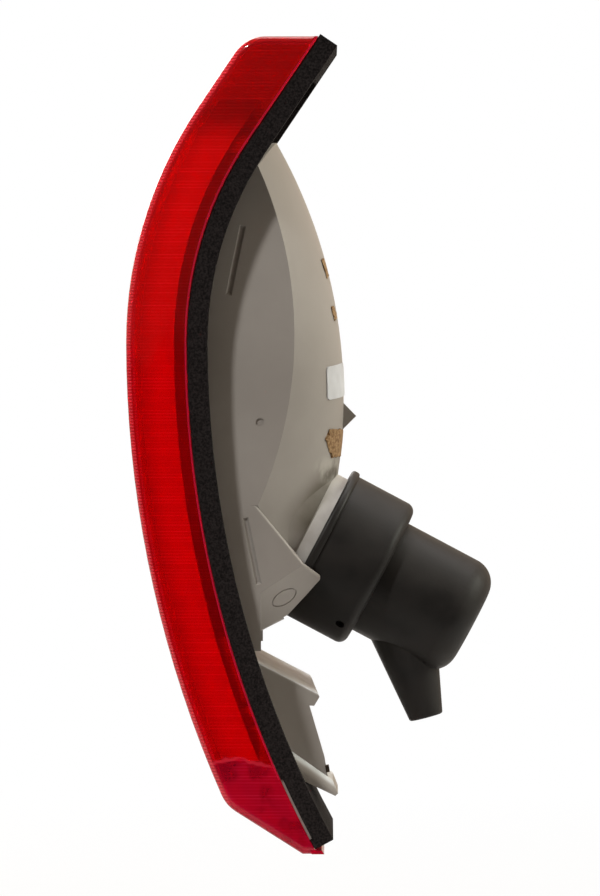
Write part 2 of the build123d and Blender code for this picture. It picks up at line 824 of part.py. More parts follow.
# Bayonet sleeve, with a hooked slot for each pin
with BuildPart() as bulb_sleeve:
    add(holder_disc(sleeve_radius, sleeve_start, sleeve_seat))
    add(holder_disc(sleeve_bore, sleeve_start, sleeve_seat), mode=Mode.SUBTRACT)
    slot_half = pin_radius + slot_clearance
    for hand in (-1, 1):
        turn = hand * slot_turn
        with BuildSketch(holder_side):
            with Locations((pin_station, turn / 2)):
                Rectangle(2 * slot_half, slot_turn + 2 * slot_half)
            with Locations((pin_station + slot_half, turn)):
                Rectangle(sleeve_length, 2 * slot_half, align=(Align.MAX, Align.CENTER))
        extrude(amount=hand * 2 * sleeve_radius, mode=Mode.SUBTRACT)
bulb_sleeve.part.label = "bulb_sleeve"

# Contact strips, bent at the tongues below the bulb and straight as terminal blades
with BuildPart() as live_contacts:
    for hand in (-1, 1):
        add(
            holder_bar(
                (tongue_start, tongue_start + strip_thickness),
                (strip_height + strip_thickness - strip_tongue, strip_height + strip_thickness),
                strip_width,
                hand * contact_spacing / 2,
            )
        )
        add(
            holder_bar(
                (tongue_start, blade_end),
                (strip_height, strip_height + strip_thickness),
                strip_width,
                hand * contact_spacing / 2,
            )
        )
live_contacts.part.label = "live_contacts"

with BuildPart() as earth_contact:
    earth_top = -sleeve_radius - strip_gap
    add(holder_bar((earth_start, blade_end), (earth_top - strip_thickness, earth_top), strip_width, 0))
earth_contact.part.label = "earth_contact"

# Bulb holder: drum with a hub for the sleeve, a flange and three locking lugs
with BuildPart() as bulb_holder:
    add(holder_disc(holder_radius, holder_front, holder_end))
    add(holder_disc(holder_flange_radius, holder_flange_start, holder_end))
    add(holder_disc(holder_radius - holder_wall, holder_front, holder_end - holder_floor), mode=Mode.SUBTRACT)
    add(
        lug_ring(lug_radius, lug_width, lug_start, lug_start + lug_thickness, 0)
        - holder_disc(holder_radius - holder_wall, holder_front, holder_end)
    )
    add(holder_disc(holder_hub_radius, holder_front, holder_end))
    add(holder_disc(sleeve_radius + sleeve_fit, holder_front, sleeve_seat), mode=Mode.SUBTRACT)
    add(holder_disc(sleeve_radius - sleeve_ledge, holder_front, holder_end - holder_floor), mode=Mode.SUBTRACT)
    blade_slot = strip_width + 2 * strip_clearance
    for hand in (-1, 1):
        add(
            holder_bar(
                (0, reach),
                (strip_height - strip_clearance, strip_height + strip_thickness + strip_clearance),
                blade_slot,
                hand * contact_spacing / 2,
            ),
            mode=Mode.SUBTRACT,
        )
    add(
        holder_bar(
            (earth_start - strip_clearance, reach),
            (earth_top - strip_thickness - strip_clearance, earth_top + strip_clearance),
            blade_slot,
            0,
        ),
        mode=Mode.SUBTRACT,
    )
bulb_holder.part.label = "bulb_holder"

with BuildPart() as holder_seal:
    add(holder_disc(holder_flange_radius, neck_end, holder_flange_start))
    add(holder_disc(lug_radius + lug_clearance, neck_end, holder_flange_start), mode=Mode.SUBTRACT)
holder_seal.part.label = "holder_seal"

# Rubber boot: lip, collar, body and tapered cable spout
with BuildPart() as rubber_boot:
    with BuildSketch(holder_side) as boot_outside:
        with BuildLine():
            Polyline(
                (boot_mouth, 0),
                (boot_mouth, boot_lip_radius),
                (boot_mouth + boot_lip_width, boot_lip_radius),
                (boot_mouth + boot_lip_width, boot_collar_radius),
                (boot_collar_end, boot_collar_radius),
                (boot_collar_end, boot_body_radius),
                (boot_end, boot_body_radius),
                (boot_end, 0),
                close=True,
            )
        make_face()
        fillet(boot_outside.vertices().group_by(Axis.X)[-1].sort_by(Axis.Y)[-1], boot_end_rounding)
        fillet(boot_outside.vertices().group_by(Axis.Y)[-1], boot_lip_rounding)
        collar_line = boot_outside.vertices().filter_by_position(Axis.X, boot_collar_end, boot_collar_end)
        fillet(collar_line.sort_by(Axis.Y)[-1], boot_collar_rounding)
    revolve(axis=holder_axis)
    with BuildSketch(spout_plane):
        Circle(spout_root_radius)
    with BuildSketch(spout_plane.offset(spout_length)):
        Circle(spout_end_radius)
    loft()
    spout_rim = rubber_boot.edges().filter_by(GeomType.CIRCLE).sort_by(Axis.Z)[0]
    fillet(spout_rim, spout_edge_radius)
    with BuildSketch(holder_side) as boot_inside:
        with BuildLine():
            Polyline(
                (boot_mouth, 0),
                (boot_mouth, neck_radius + boot_grip),
                (boot_step, neck_radius + boot_grip),
                (boot_step, boot_body_radius - boot_wall),
                (boot_end - boot_wall, boot_body_radius - boot_wall),
                (boot_end - boot_wall, 0),
                close=True,
            )
        make_face()
        fillet(
            boot_inside.vertices().filter_by_position(Axis.Y, boot_wall, reach).sort_by(Axis.X)[-1],
            boot_inner_rounding,
        )
    revolve(axis=holder_axis, mode=Mode.SUBTRACT)
    with BuildSketch(spout_plane):
        Circle(spout_root_radius - boot_wall)
    with BuildSketch(spout_plane.offset(spout_length - spout_bore_length)):
        Circle(spout_bore_radius)
    loft(mode=Mode.SUBTRACT)
    with BuildSketch(spout_plane.offset(spout_length)):
        Circle(spout_bore_radius)
    extrude(amount=-spout_bore_length, mode=Mode.SUBTRACT)
    # Drain hole through the near side of the collar
    vent_direction = across * -cos(radians(vent_angle)) + holder_side.y_dir * -sin(radians(vent_angle))
    vent_start = holder_side.from_local_coords(Vector(vent_station, 0, 0))
    with BuildSketch(Plane(vent_start, x_dir=holder_side.x_dir, z_dir=vent_direction)):
        Circle(vent_radius)
    extrude(amount=boot_lip_radius, mode=Mode.SUBTRACT)
rubber_boot.part.label = "rubber_boot"

# Spring clip, drawn in the plane square to the rear edge of the panel
with BuildPart() as bracket_clip:
    clip_origin = Vector(clip_corner[0], -bracket_width / 2, clip_corner[1])
    clip_along = draw_direction(clip_slope)
    clip_plane = Plane(clip_origin, x_dir=clip_along, z_dir=clip_along.cross(across))
    inner_y = panel_thickness + clip_clearance
    end_x = clip_clearance
    with BuildSketch(clip_plane):
        with BuildLine():
            Polyline(
                (end_x - clip_near_leg, -clip_clearance),
                (end_x, -clip_clearance),
                (end_x, inner_y),
                (end_x - clip_far_leg, inner_y),
                (end_x - clip_far_leg, inner_y + clip_thickness),
                (end_x + clip_thickness, inner_y + clip_thickness),
                (end_x + clip_thickness, -clip_clearance - clip_thickness),
                (end_x - clip_near_leg, -clip_clearance - clip_thickness),
                close=True,
            )
        make_face()
    extrude(amount=clip_width / 2, both=True)
bracket_clip.part.label = "bracket_clip"

# Blank label and torn paper
with BuildSketch() as label_outline:
    with Locations(Location((label_centre[0], label_centre[1], 0), (0, 0, label_turn))):
        RectangleRounded(label_size[0], label_size[1], label_corner_radius)

with BuildPart() as label:
    add(dome_film([label_outline.sketch_local]))
label.part.label = "label"

with BuildPart() as paper_scraps:
    add(dome_film([torn_outline(points) for points in (large_scrap, upper_scrap, middle_scrap)]))
paper_scraps.part.label = "paper_scraps"

os.makedirs("parts", exist_ok=True)
export_step(lens.part, "parts/lens.step")
export_step(reflex_reflector.part, "parts/reflex_reflector.step")
export_step(lens_seal.part, "parts/lens_seal.step")
export_step(housing.part, "parts/housing.step")
export_step(gasket.part, "parts/gasket.step")
export_step(reflector.part, "parts/reflector.step")
export_step(reflector_screws.part, "parts/reflector_screws.step")
export_step(bulb_glass.part, "parts/bulb_glass.step")
export_step(bulb_stem.part, "parts/bulb_stem.step")
export_step(bulb_wires.part, "parts/bulb_wires.step")
export_step(bulb_filaments.part, "parts/bulb_filaments.step")
export_step(bulb_cap.part, "parts/bulb_cap.step")
export_step(cap_insulator.part, "parts/cap_insulator.step")
export_step(bulb_contacts.part, "parts/bulb_contacts.step")
export_step(bulb_sleeve.part, "parts/bulb_sleeve.step")
export_step(live_contacts.part, "parts/live_contacts.step")
export_step(earth_contact.part, "parts/earth_contact.step")
export_step(bulb_holder.part, "parts/bulb_holder.step")
export_step(holder_seal.part, "parts/holder_seal.step")
export_step(rubber_boot.part, "parts/rubber_boot.step")
export_step(bracket_clip.part, "parts/bracket_clip.step")
export_step(label.part, "parts/label.step")
export_step(paper_scraps.part, "parts/paper_scraps.step")
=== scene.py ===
# %% [markdown]
# # A tail light cluster, dressed for its picture
# The lamp was drawn in CAD and packed, so every solid already has its true size and place. This
# lesson gives each piece its finish: red acrylic with moulded ribs, black foam, grey moulded
# plastic, black rubber, paper and glue. It also sets the studio and the camera.

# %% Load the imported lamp
from math import atan, cos, hypot, radians, sin, tan

import bmesh
import bpy
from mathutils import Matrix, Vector, noise


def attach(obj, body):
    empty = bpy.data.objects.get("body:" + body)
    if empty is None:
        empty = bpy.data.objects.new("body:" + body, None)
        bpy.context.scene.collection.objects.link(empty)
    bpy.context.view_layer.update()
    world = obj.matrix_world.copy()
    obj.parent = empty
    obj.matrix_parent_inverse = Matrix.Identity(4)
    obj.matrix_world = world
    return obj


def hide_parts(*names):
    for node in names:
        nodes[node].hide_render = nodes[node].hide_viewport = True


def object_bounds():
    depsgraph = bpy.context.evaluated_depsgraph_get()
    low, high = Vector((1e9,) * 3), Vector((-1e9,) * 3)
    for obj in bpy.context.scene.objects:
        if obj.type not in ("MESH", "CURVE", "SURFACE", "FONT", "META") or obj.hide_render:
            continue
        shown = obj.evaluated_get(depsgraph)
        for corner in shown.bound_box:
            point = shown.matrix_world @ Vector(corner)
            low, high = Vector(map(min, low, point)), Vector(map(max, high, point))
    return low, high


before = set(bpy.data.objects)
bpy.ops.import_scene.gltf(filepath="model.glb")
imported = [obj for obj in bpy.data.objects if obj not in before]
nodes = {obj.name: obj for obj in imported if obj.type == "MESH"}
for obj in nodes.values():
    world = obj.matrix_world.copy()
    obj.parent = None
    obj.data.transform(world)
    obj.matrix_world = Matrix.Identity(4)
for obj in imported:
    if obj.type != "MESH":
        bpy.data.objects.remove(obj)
cad_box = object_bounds()
MM = 0.001
print("nodes:", len(nodes), "box:", [round(v / MM, 1) for corner in cad_box for v in corner])

# %% [markdown]
# ## The camera
# The photograph shows the lamp from its side, from far away and about 5 cm above its middle.
# A camera could be placed by eye. Here it is worked out from the scale of the picture, 0.314 mm
# for each pixel on the near side of the lamp, so the render and the photograph lie on each other.

# %% Camera from the scale of the photograph
image_height = 896
pixel_size = 0.314 * MM
camera_distance = 2400 * MM
camera_azimuth = radians(0.2)
camera_elevation = radians(1.1)
aim_point = Vector((29.17, -49.0, -33.24)) * MM
sensor_height = 24.0

away = Vector((
    sin(camera_azimuth) * cos(camera_elevation),
    -cos(camera_azimuth) * cos(camera_elevation),
    sin(camera_elevation),
))
camera_data = bpy.data.cameras.new("side_camera")
camera_data.sensor_fit = "VERTICAL"
camera_data.sensor_height = sensor_height
camera_data.lens = sensor_height * camera_distance / (image_height * pixel_size)
camera = bpy.data.objects.new("side_camera", camera_data)
camera.location = aim_point + away * camera_distance
camera.rotation_euler = (-away).to_track_quat("-Z", "Y").to_euler()
bpy.context.scene.collection.objects.link(camera)
bpy.context.scene.camera = camera
bpy.context.scene.view_settings.view_transform = "Standard"
print("focal length:", round(camera_data.lens, 1), "mm")

# %% [markdown]
# ## Helpers for finishes
# A colour is written as the sRGB hex value that a paint chart gives, and shaders want linear
# light, so one function converts it. Every shader node is added by one other function, which sets
# the node's own settings and then fills or links its sockets. The settings that come back often
# get a short name.

# %% Colour helper
def linear(code):
    """Turns an sRGB hex colour into the linear colour that a shader takes."""
    parts = [int(code[i:i + 2], 16) / 255 for i in (1, 3, 5)]
    return [p / 12.92 if p <= 0.04045 else ((p + 0.055) / 1.055) ** 2.4 for p in parts] + [1.0]


print("a mid grey in linear light:", [round(v, 3) for v in linear("#808080")[:3]])

# %% Node helper
TIMES, OVER = {"operation": "MULTIPLY"}, {"operation": "DIVIDE"}
PLUS, MINUS = {"operation": "ADD"}, {"operation": "SUBTRACT"}
LARGER, SMALLER = {"operation": "MAXIMUM"}, {"operation": "MINIMUM"}
ABOVE, BELOW = {"operation": "GREATER_THAN"}, {"operation": "LESS_THAN"}
ROOT, UNSIGNED = {"operation": "SQRT"}, {"operation": "ABSOLUTE"}
SMOOTH = {"interpolation_type": "SMOOTHSTEP"}
NOISE_LOW, NOISE_HIGH = 0.3, 0.7  # nearly all values of a noise lie between these


def add(tree, kind, settings=None, sockets=None):
    """Adds a node. A socket takes a constant, an output, or a node for that node's first output."""
    made = tree.nodes.new("ShaderNode" + kind)
    for name, value in (settings or {}).items():
        setattr(made, name, value)
    for name, value in (sockets or {}).items():
        if isinstance(value, bpy.types.Node):
            value = value.outputs[0]
        if isinstance(value, bpy.types.NodeSocket):
            tree.links.new(value, made.inputs[name])
        else:
            made.inputs[name].default_value = value
    return made


def start_material(name):
    """A material with no nodes but its Object coordinates."""
    material = bpy.data.materials.new(name)
    material.use_nodes = True
    tree = material.node_tree
    tree.nodes.clear()
    place = add(tree, "TexCoord").outputs["Object"]
    return material, tree, place


def per_metre(size_in_mm):
    """The scale of a texture whose features are about this many millimetres wide."""
    return 1.0 / (size_in_mm * MM)


print("scale of a 1 mm pattern:", round(per_metre(1.0)), "per metre")

# %% [markdown]
# ## The studio
# The lamp was photographed in front of white, with one soft light above and to the left of the
# camera: its foam edge throws a shadow to the right and down on the side wall. A lit white room
# would wash out the red, so the room here is white behind the lamp and dim behind the camera.
# What shines through the lens is a backdrop of its own level, which Light Path picks out.

# %% Room light and white background
room_dim = 0.12
room_bright = 0.80
backdrop_level = 0.45
world = bpy.data.worlds.new("studio_room")
bpy.context.scene.world = world
world.use_nodes = True
room = world.node_tree
room.nodes.clear()
direction = add(room, "SeparateXYZ", None, {"Vector": add(room, "TexCoord").outputs["Generated"]})
room_level = add(room, "MapRange", None, {
    "Value": direction.outputs["Y"], "From Min": -1.0, "From Max": 1.0,
    "To Min": room_dim, "To Max": room_bright,
})
path = add(room, "LightPath")
room_light = add(room, "Background", None, {"Color": linear("#FFE2C4"), "Strength": room_level})
white_paper_roll = add(room, "Background", None, {"Color": linear("#FFFFFF"), "Strength": 1.0})
backdrop = add(room, "Background", None, {"Color": linear("#FFFFFF"), "Strength": backdrop_level})
through = add(room, "MixShader", None, {
    0: path.outputs["Is Transmission Ray"], 1: room_light, 2: backdrop,
})
room_mix = add(room, "MixShader", None, {
    0: path.outputs["Is Camera Ray"], 1: through, 2: white_paper_roll,
})
add(room, "OutputWorld", None, {"Surface": room_mix})
print("room light from", room_dim, "behind the camera to", room_bright, "behind the lamp")

# %% [markdown]
# ## The floor
# The lamp is shown above a pale sheet of paper. The paper could be lit until it is white, but
# that light would fall on the lamp too. So it glows for the camera only, less so near the lamp,
# where its shadow shows. In front of the lamp the floor is as dark as an unlit room, because the
# glossy lens would mirror a white one and look washed out.

# %% Floor sheet
floor_drop = 60 * MM
floor_half = 40.0
floor_bm = bmesh.new()
bmesh.ops.create_grid(floor_bm, x_segments=1, y_segments=1, size=floor_half)
bmesh.ops.translate(floor_bm, verts=floor_bm.verts, vec=(0, 0, cad_box[0][2] - floor_drop))
floor_mesh = bpy.data.meshes.new("floor")
floor_bm.to_mesh(floor_mesh)
floor_bm.free()
floor = bpy.data.objects.new("floor", floor_mesh)
bpy.context.scene.collection.objects.link(floor)
print("floor at", round((cad_box[0][2] - floor_drop) / MM, 1), "mm")

# %% Floor paper
# Uncoated paper: matt and nearly white. Its fibres are finer than 0.1 mm and are drawn as 4 mm
# clouds, the smallest that would show.
paper_cloud = 4.0
front_edge = -0.35

pale_floor, tree, place = start_material("white_paper_floor")
fibre = add(tree, "TexNoise", None, {
    "Vector": place, "Scale": per_metre(paper_cloud), "Detail": 3.0,
})
paper_tint = add(tree, "ValToRGB", None, {"Fac": fibre})
paper_tint.color_ramp.elements[0].color = linear("#C2C2C1")
paper_tint.color_ramp.elements[1].color = linear("#CCCCCB")
floor_place = add(tree, "SeparateXYZ", None, {"Vector": place})
behind_front = add(tree, "MapRange", None, {
    "Value": floor_place.outputs["Y"], "From Min": front_edge, "From Max": front_edge / 2,
})
dark_room = add(tree, "BsdfDiffuse", None, {"Color": linear("#0A0A0A")})
white_paper = add(tree, "BsdfDiffuse", None, {"Color": paper_tint})
paper = add(tree, "MixShader", None, {0: behind_front, 1: dark_room, 2: white_paper})
print("floor is dark in front of", front_edge, "m")

# %% Floor that glows for the camera
shadow_reach = 0.3
shadow_end = 4 * shadow_reach
glow_near_lamp = 0.8

glow = add(tree, "Emission", None, {"Color": linear("#FFFFFF"), "Strength": 1.0})
from_lamp = add(tree, "VectorMath", {"operation": "LENGTH"}, {0: place})
glow_level = add(tree, "MapRange", None, {
    "Value": from_lamp.outputs["Value"], "From Min": shadow_reach, "From Max": shadow_end,
    "To Min": glow_near_lamp, "To Max": 1.0,
})
seen = add(tree, "LightPath").outputs["Is Camera Ray"]
glow_share = add(tree, "Math", TIMES, {0: seen, 1: glow_level})
floor_look = add(tree, "MixShader", None, {0: glow_share, 1: paper, 2: glow})
add(tree, "OutputMaterial", None, {"Surface": floor_look})
floor_mesh.materials.append(pale_floor)
print("floor glows at", glow_near_lamp, "near the lamp and 1.0 from", shadow_end, "m on")

# %% [markdown]
# ## The soft boxes
# A soft box is a lamp behind white cloth. A small one on the upper left gives the shadow of the
# foam edge. Large ones on the right, above and behind fill in, as the walls of a bright room do.

# %% Soft boxes
lamp_middle = Vector((20.0, 0.0, -33.0)) * MM


def soft_box(name, towards, distance, size, power, tint):
    """A square soft box in the given direction, turned to the middle of the lamp."""
    data = bpy.data.lights.new(name, "AREA")
    data.shape = "SQUARE"
    data.size = size
    data.energy = power
    data.color = linear(tint)[:3]
    box = bpy.data.objects.new(name, data)
    ray = Vector(towards).normalized()
    box.location = lamp_middle + ray * distance
    box.rotation_euler = (-ray).to_track_quat("-Z", "Y").to_euler()
    bpy.context.scene.collection.objects.link(box)
    return box


soft_boxes = [
    soft_box("key_box", (-0.41, -0.62, 0.67), distance=1.5, size=0.12, power=12.0, tint="#FFFDF8"),
    soft_box("right_box", (0.88, -0.05, 0.45), distance=1.5, size=0.80, power=12.5, tint="#FAFDF0"),
    soft_box("top_box", (0.15, 0.25, 1.0), distance=1.4, size=0.90, power=12.0, tint="#FFFFFF"),
    soft_box("back_box", (-0.35, 0.85, 0.40), distance=1.6, size=0.90, power=14.0, tint="#FFFFFF"),
]
print("soft boxes:", [b.name for b in soft_boxes])

# %% [markdown]
# ## The curve that the lens follows
# The lamp sits on a body panel that is curved like a bow: an arc of 335 mm radius below, a tighter
# one of 113 mm above, and then a straight end. The lens, the foam and the reflector all follow
# this seat, so one function says where any point lies along it and how far behind it.

# %% Seat curve
rim_x = -6.5 * MM
seat_upper_radius = 113.0 * MM
seat_upper_sweep = radians(34.0)
seat_lower_radius = 335.0 * MM
straight_x = rim_x + seat_upper_radius * (1 - cos(seat_upper_sweep))
straight_z = seat_upper_radius * sin(seat_upper_sweep)


def seat_place(x, z):
    """Where a place lies along the seat: its turn from level, and its distance behind the seat."""
    radius = seat_lower_radius if z <= 0 else seat_upper_radius
    run = rim_x + radius - x
    turn = atan(z / run)
    if turn <= seat_upper_sweep:
        return turn, radius - hypot(run, z)
    behind = (x - straight_x) * cos(seat_upper_sweep) - (z - straight_z) * sin(seat_upper_sweep)
    return seat_upper_sweep, behind


print("the straight end starts at", round(straight_x / MM, 1), round(straight_z / MM, 1), "mm")

# %% [markdown]
# ## The lens and its ribs
# The lens is one red acrylic moulding. Its walls carry fine horizontal ribs on the inside, one
# each millimetre, which spread the light. They could be a bump texture, but then light would not
# bend through them. Here a copy of the CAD lens is cut with level planes and every second cut is
# pushed inwards, so each rib is a small prism.

# %% Copy the lens and mark the walls that get ribs
lens_depth = 19.0 * MM
lens_wall = 2.6 * MM
half_lens = 49.0 * MM
inner_half = half_lens - lens_wall
inner_front = lens_wall - lens_depth
merge_distance = 1e-6
flat_angle = radians(0.2)
side_limit = 0.02 * MM
front_limit = 0.08 * MM
side_facing, front_facing = 0.99, 0.1

shell = bmesh.new()
shell.from_mesh(nodes["lens"].data)
bmesh.ops.remove_doubles(shell, verts=shell.verts, dist=merge_distance)
bmesh.ops.dissolve_limit(shell, angle_limit=flat_angle, verts=shell.verts, edges=shell.edges)


def on_side(co):
    return abs(abs(co.y) - inner_half) < side_limit


def on_front(co):
    return abs(seat_place(co.x, co.z)[1] - inner_front) < front_limit


ribbed = shell.faces.layers.int.new("ribbed")
for face in shell.faces:
    is_side = abs(face.normal.y) > side_facing and all(on_side(v.co) for v in face.verts)
    is_front = abs(face.normal.y) < front_facing and all(on_front(v.co) for v in face.verts)
    face[ribbed] = int(is_side or is_front)
print("faces that get ribs:", sum(f[ribbed] for f in shell.faces))

# %% Cut the rib lines and raise every second one
rib_pitch = 1.0 * MM
rib_height = 0.14 * MM
half_pitch = rib_pitch / 2
on_crest = 0.01

lowest = min(v.co.z for f in shell.faces if f[ribbed] for v in f.verts)
highest = max(v.co.z for f in shell.faces if f[ribbed] for v in f.verts)
for cut in range(int(lowest / half_pitch) + 1, int(highest / half_pitch)):
    level = cut * half_pitch
    crossing = [f for f in shell.faces if f[ribbed]
                and min(v.co.z for v in f.verts) < level < max(v.co.z for v in f.verts)]
    edges = {e for f in crossing for e in f.edges}
    verts = {v for f in crossing for v in f.verts}
    bmesh.ops.bisect_plane(shell, geom=crossing + list(edges) + list(verts), dist=merge_distance,
                           plane_co=(0, 0, level), plane_no=(0, 0, 1))

raised = {v for f in shell.faces if f[ribbed] for v in f.verts
          if abs(v.co.z / rib_pitch - round(v.co.z / rib_pitch)) < on_crest}
for vert in raised:
    push = Vector()
    if on_side(vert.co):
        push.y -= rib_height if vert.co.y > 0 else -rib_height
    if on_front(vert.co):
        turn = seat_place(vert.co.x, vert.co.z)[0]
        push += Vector((cos(turn), 0, -sin(turn))) * rib_height
    vert.co += push
print("rib points:", len(raised), "from", round(lowest / MM), "to", round(highest / MM), "mm")

# %% Make the ribbed lens a piece
lens_crisp_angle = radians(15)


def soften(shape, sharp_angle):
    """Smooth faces that meet gently, and a crisp edge where they meet at more than the angle."""
    for face in shape.faces:
        face.smooth = True
    for edge in shape.edges:
        edge.smooth = not edge.is_manifold or edge.calc_face_angle() < sharp_angle


soften(shell, lens_crisp_angle)
lens_mesh = bpy.data.meshes.new("ribbed_lens")
shell.to_mesh(lens_mesh)
shell.free()
ribbed_lens = bpy.data.objects.new("ribbed_lens", lens_mesh)
bpy.context.scene.collection.objects.link(ribbed_lens)
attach(ribbed_lens, "root")
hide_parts("lens")
print("ribbed lens:", len(lens_mesh.polygons), "faces")

# %% [markdown]
# ## Depth behind the front of the lens
# The picture shows bands that follow the curve of the lamp: a toothed pale line on the front edge,
# a painted reflection, and a reflector that gets darker towards its front, painted shade. They
# could be painted as maps, but here a material finds its place between front and rim with the same
# seat curve, written in shader nodes.

# %% Depth as shader nodes
def depth_share(tree, place):
    """0 on the front of the lens and 1 at its rim, then the height Z and the place across, Y."""
    split = add(tree, "SeparateXYZ", None, {"Vector": place})
    x, z = split.outputs["X"], split.outputs["Z"]
    z_square = add(tree, "Math", TIMES, {0: z, 1: z})
    runs, behind = [], []
    for radius in (seat_lower_radius, seat_upper_radius):
        run = add(tree, "Math", MINUS, {0: rim_x + radius, 1: x})
        run_square = add(tree, "Math", TIMES, {0: run, 1: run})
        reach = add(tree, "Math", ROOT, {0: add(tree, "Math", PLUS, {0: run_square, 1: z_square})})
        runs.append(run)
        behind.append(add(tree, "Math", MINUS, {0: radius, 1: reach}))
    past_x = add(tree, "Math", MINUS, {0: x, 1: straight_x})
    past_z = add(tree, "Math", MINUS, {0: z, 1: straight_z})
    turned_x = add(tree, "Math", TIMES, {0: past_x, 1: cos(seat_upper_sweep)})
    turned_z = add(tree, "Math", TIMES, {0: past_z, 1: sin(seat_upper_sweep)})
    straight = add(tree, "Math", MINUS, {0: turned_x, 1: turned_z})
    arc_end = add(tree, "Math", TIMES, {0: runs[1], 1: tan(seat_upper_sweep)})
    on_straight = add(tree, "Math", ABOVE, {0: z, 1: arc_end})
    upper = add(tree, "MapRange", None, {
        "Value": on_straight, "To Min": behind[1], "To Max": straight,
    })
    is_upper = add(tree, "Math", ABOVE, {0: z, 1: 0.0})
    seat = add(tree, "MapRange", None, {"Value": is_upper, "To Min": behind[0], "To Max": upper})
    share = add(tree, "Math", OVER, {0: seat, 1: lens_depth})
    return add(tree, "Math", PLUS, {0: share, 1: 1.0}), z, split.outputs["Y"]


print("seat radii:", round(seat_upper_radius / MM), round(seat_lower_radius / MM), "mm")

# %% [markdown]
# ## Zones of the red acrylic
# The lens isn't equally red. Its ribs show as fine lines of uneven strength, a painted highlight on
# each crest, its front edge as a row of pale teeth, a painted reflection, and its top as a darker
# end, painted shade. The foot is a cloudy pink-red below a wavy pale line, and a thin bright lip
# along the foam is a painted highlight. Painting them by hand would take a map for each; here each
# zone is a mask that comes from the height, the depth or a noise.

# %% Foot of the lens and a pale wavy line along it
foot_level = -131.5 * MM
foot_blur = 1.0 * MM
foot_waver = 12 * MM
waver_size = 10.0
pale_line_outer, pale_line_inner = 0.9 * MM, 0.2 * MM


def foot_zone(tree, place, z, haze, foot_share):
    """Masks for the foot and a pale wavy line along its edge; foot_share is 1 where all of the
    piece is foot.
    """
    wander = add(tree, "TexNoise", None, {
        "Vector": place, "Scale": per_metre(waver_size), "Detail": 2.0,
    })
    centred = add(tree, "Math", MINUS, {0: wander, 1: 0.5})
    waver = add(tree, "Math", TIMES, {0: centred, 1: foot_waver})
    foot_z = add(tree, "Math", PLUS, {0: z, 1: waver})
    below = add(tree, "MapRange", SMOOTH, {
        "Value": foot_z, "From Min": foot_level + foot_blur, "From Max": foot_level - foot_blur,
    })
    from_pale_line = add(tree, "Math", MINUS, {0: foot_z, 1: foot_level})
    pale_line_mask = add(tree, "MapRange", SMOOTH, {
        "Value": add(tree, "Math", UNSIGNED, {0: from_pale_line}),
        "From Min": pale_line_outer, "From Max": pale_line_inner,
    })
    pale_line_strength = add(tree, "MapRange", SMOOTH, {
        "Value": haze, "From Min": 0.38, "From Max": 0.62, "To Min": 0.05, "To Max": 0.55,
    })
    foot = add(tree, "Math", LARGER, {0: below, 1: foot_share})
    return foot, add(tree, "Math", TIMES, {0: pale_line_mask, 1: pale_line_strength})


print("foot below", round(foot_level / MM, 1), "mm")

# %% Painted shade at the top and painted highlight on the lip
# Above this level the lens is painted darker, as painted shade.
top_level = 62.0 * MM
top_blur = 10 * MM
# The lip along the foam gets a painted highlight.
lip_start = 49.05 * MM
lip_blur = 0.05 * MM
lip_share = (0.966, 0.974)


def edge_zones(tree, share, z, y):
    """Masks for the painted shade at the top and for the painted highlight on the lip along the
    foam.
    """
    top = add(tree, "MapRange", SMOOTH, {
        "Value": z, "From Min": top_level, "From Max": top_level + top_blur,
    })
    outside = add(tree, "MapRange", SMOOTH, {
        "Value": add(tree, "Math", UNSIGNED, {0: y}),
        "From Min": lip_start, "From Max": lip_start + lip_blur,
    })
    at_rim = add(tree, "MapRange", SMOOTH, {
        "Value": share, "From Min": lip_share[0], "From Max": lip_share[1],
    })
    return top, add(tree, "Math", TIMES, {0: outside, 1: at_rim})


print("dark top above", round(top_level / MM), "mm")

# %% Rib lines with painted highlights on the crests, teeth of painted reflection, and clouds
wave_turn = 0.314159  # a wave texture of scale 1 repeats after this many metres
row_stretch = (0.03, 0.03, 1.0)
row_height = 1.7
teeth_share = (0.095, 0.06)


def rib_lines(tree, place, share, haze):
    """Masks for the painted highlight on the rib crests, the painted reflection of teeth on the
    front edge and the foot's clouds.
    """
    ribs = add(tree, "TexWave", {"bands_direction": "Z"}, {
        "Vector": place, "Scale": wave_turn / rib_pitch,
    }).outputs["Fac"]
    rows = add(tree, "Mapping", None, {"Vector": place, "Scale": row_stretch})
    uneven = add(tree, "TexNoise", None, {"Vector": rows, "Scale": per_metre(row_height)})
    crest_line = add(tree, "MapRange", SMOOTH, {"Value": ribs, "From Min": 0.5, "From Max": 1.0})
    crest_strength = add(tree, "MapRange", SMOOTH, {
        "Value": uneven, "From Min": 0.35, "From Max": 0.70, "To Min": 0.15, "To Max": 1.0,
    })
    at_front = add(tree, "MapRange", SMOOTH, {
        "Value": share, "From Min": teeth_share[0], "From Max": teeth_share[1],
    })
    tooth = add(tree, "MapRange", SMOOTH, {
        "Value": ribs, "From Min": 0.2, "From Max": 0.8, "To Min": 0.35, "To Max": 1.0,
    })
    crest = add(tree, "Math", TIMES, {0: crest_line, 1: crest_strength})
    teeth_reflection = add(tree, "Math", TIMES, {0: at_front, 1: tooth})
    clouds = add(tree, "MapRange", SMOOTH, {
        "Value": haze, "From Min": 0.50, "From Max": 0.66, "To Min": 0.0, "To Max": 0.7,
    })
    return crest, teeth_reflection, clouds


print("rib lines every", rib_pitch / MM, "mm")

# %% [markdown]
# ## Red acrylic
# The cover is clear acrylic dyed red and polished by its mould. To the eye it is deep red where
# the dark inside lies behind it, glows where the reflector does, and has a wet gloss. A Principled
# shader with transmission gives this. Acrylic bends light at an index of 1.49, but with it the rib
# lines came out much stronger than in the photograph, so the body has 1.12 and a clear coat of
# 1.49 gives the gloss. Light that falls through the lens would take very long to find, so shadow
# rays pass straight through and only take the red tint.

